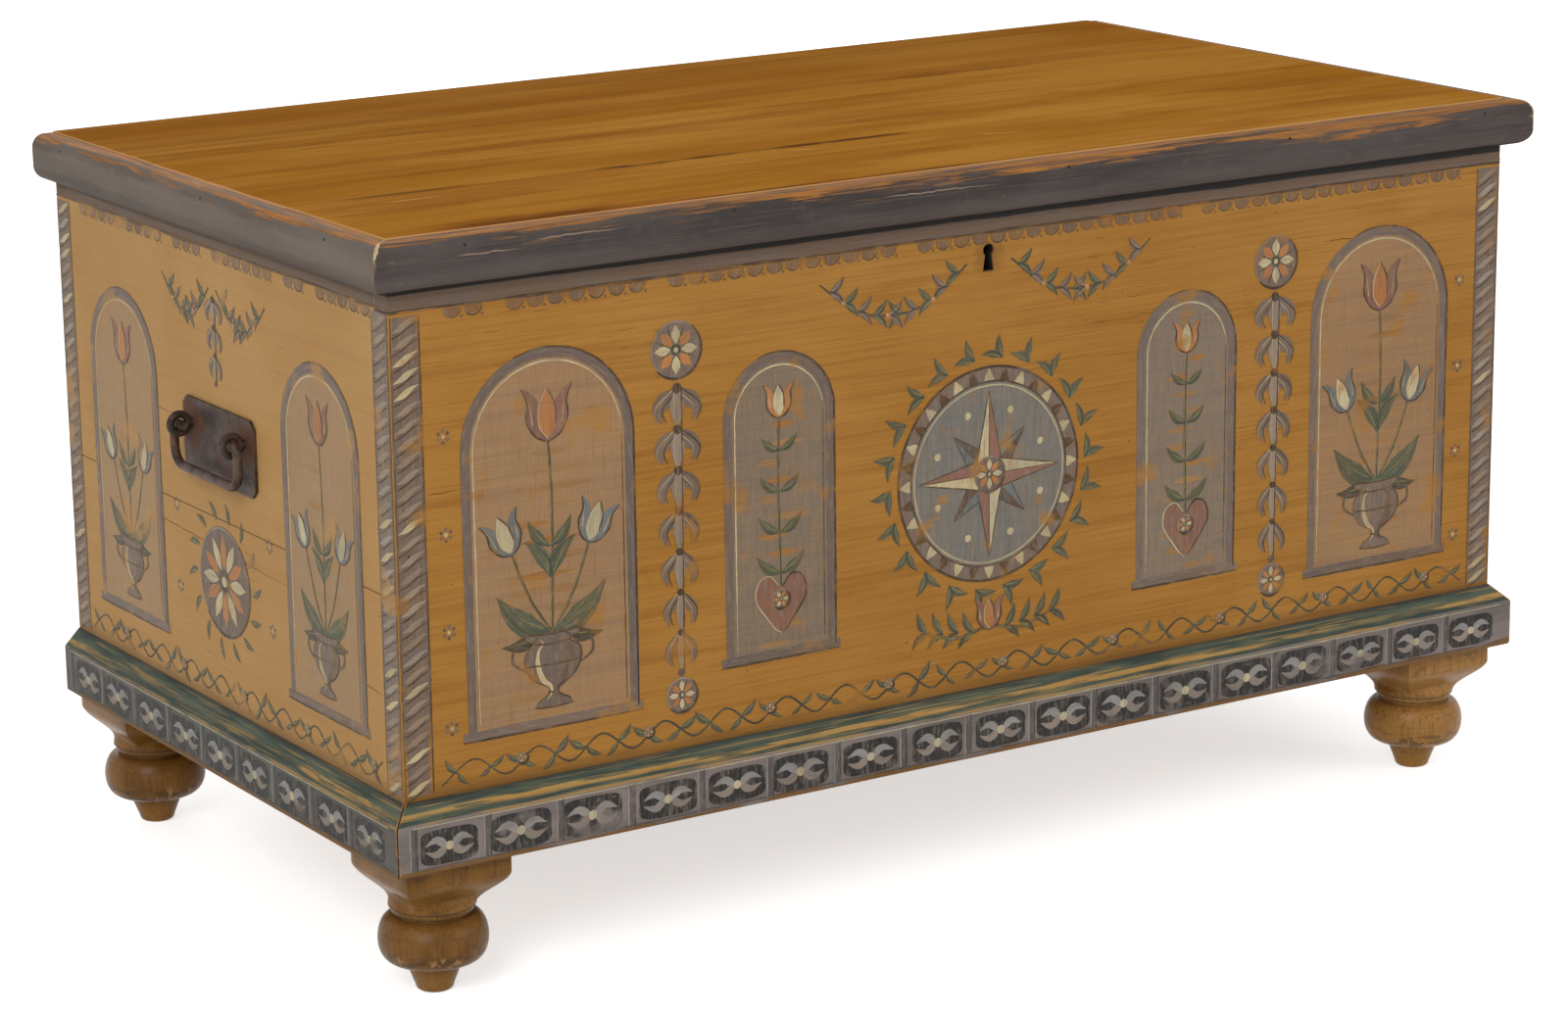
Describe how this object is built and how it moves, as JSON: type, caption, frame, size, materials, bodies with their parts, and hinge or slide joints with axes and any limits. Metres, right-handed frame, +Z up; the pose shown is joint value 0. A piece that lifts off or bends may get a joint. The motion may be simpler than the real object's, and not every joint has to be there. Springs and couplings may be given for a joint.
{
  "type": "blanket chest",
  "caption": "Painted pine blanket chest with hinged lid, rounded lid moulding, mitred plinth, turned feet, iron bail handles, strap hinges and a lock.",
  "frame": {"origin": "on the floor, under the middle of the chest's bounding box", "axes": "+X along the width to the right seen from the front, +Y to the back, +Z up; the front faces -Y"},
  "size_m": [1.0468, 0.5782, 0.5579],
  "materials": {
    "painted_front": "worn ochre paint over pine",
    "painted_end": "worn ochre paint over pine",
    "bare_pine": "aged bare pine",
    "lid_pine": "waxed honey-brown pine",
    "moulding_paint": "rubbed mauve-grey paint",
    "plinth_paint": "rubbed grey and green paint",
    "foot_pine": "waxed turned pine",
    "iron": "rusty brown wrought iron"
  },
  "bodies": {
    "case": {"front_board": "painted_front", "back_board": "bare_pine", "left_end_lower_board": "painted_end", "left_end_upper_board": "painted_end", "right_end_lower_board": "painted_end", "right_end_upper_board": "painted_end", "bottom_front_board": "bare_pine", "bottom_rear_board": "bare_pine", "plinth_front": "plinth_paint", "plinth_left": "plinth_paint", "plinth_right": "plinth_paint", "foot_front_left": "foot_pine", "foot_rear_left": "foot_pine", "foot_front_right": "foot_pine", "foot_rear_right": "foot_pine", "handle_plate_left": "iron", "handle_eye_left_front": "iron", "handle_eye_left_rear": "iron", "handle_plate_right": "iron", "handle_eye_right_front": "iron", "handle_eye_right_rear": "iron", "hinge_leaf_left": "iron", "leaf_screw_left_1": "iron", "leaf_screw_left_2": "iron", "hinge_pin_left": "iron", "hinge_leaf_right": "iron", "leaf_screw_right_1": "iron", "leaf_screw_right_2": "iron", "hinge_pin_right": "iron", "lock_plate": "iron", "lock_screw_1": "iron", "lock_screw_2": "iron", "lock_screw_3": "iron", "lock_screw_4": "iron", "lock_cap": "iron", "lock_key_pin": "iron"},
    "lid": {"lid_front_board": "lid_pine", "lid_middle_board": "lid_pine", "lid_rear_board": "lid_pine", "lid_batten_left": "bare_pine", "lid_batten_right": "bare_pine", "lid_moulding_front": "moulding_paint", "lid_moulding_left": "moulding_paint", "lid_moulding_right": "moulding_paint", "hinge_strap_left": "iron", "strap_screw_left_1": "iron", "strap_screw_left_2": "iron", "strap_screw_left_3": "iron", "hinge_strap_right": "iron", "strap_screw_right_1": "iron", "strap_screw_right_2": "iron", "strap_screw_right_3": "iron", "lock_staple": "iron", "staple_screw_left": "iron", "staple_screw_right": "iron"},
    "bail_left": {"bail_left": "iron"},
    "bail_right": {"bail_right": "iron"},
    "lock_bolt": {"lock_bolt": "iron"}
  },
  "joints": [
    {"name": "lid_hinge", "type": "hinge", "parent": "case", "child": "lid", "pos_m": [0, 0.2841, 0.5307], "axis": [-1, 0, 0], "range_deg": [0, 100]},
    {"name": "bail_left_swing", "type": "hinge", "parent": "case", "child": "bail_left", "pos_m": [-0.5132, -0.0011, 0.3712], "axis": [0, 1, 0], "range_deg": [-11, 190]},
    {"name": "bail_right_swing", "type": "hinge", "parent": "case", "child": "bail_right", "pos_m": [0.5132, -0.0011, 0.3712], "axis": [0, -1, 0], "range_deg": [-11, 190]},
    {"name": "lock_bolt_slide", "type": "slide", "parent": "case", "child": "lock_bolt", "axis": [1, 0, 0], "range_m": [0, 0.01]}
  ]
}
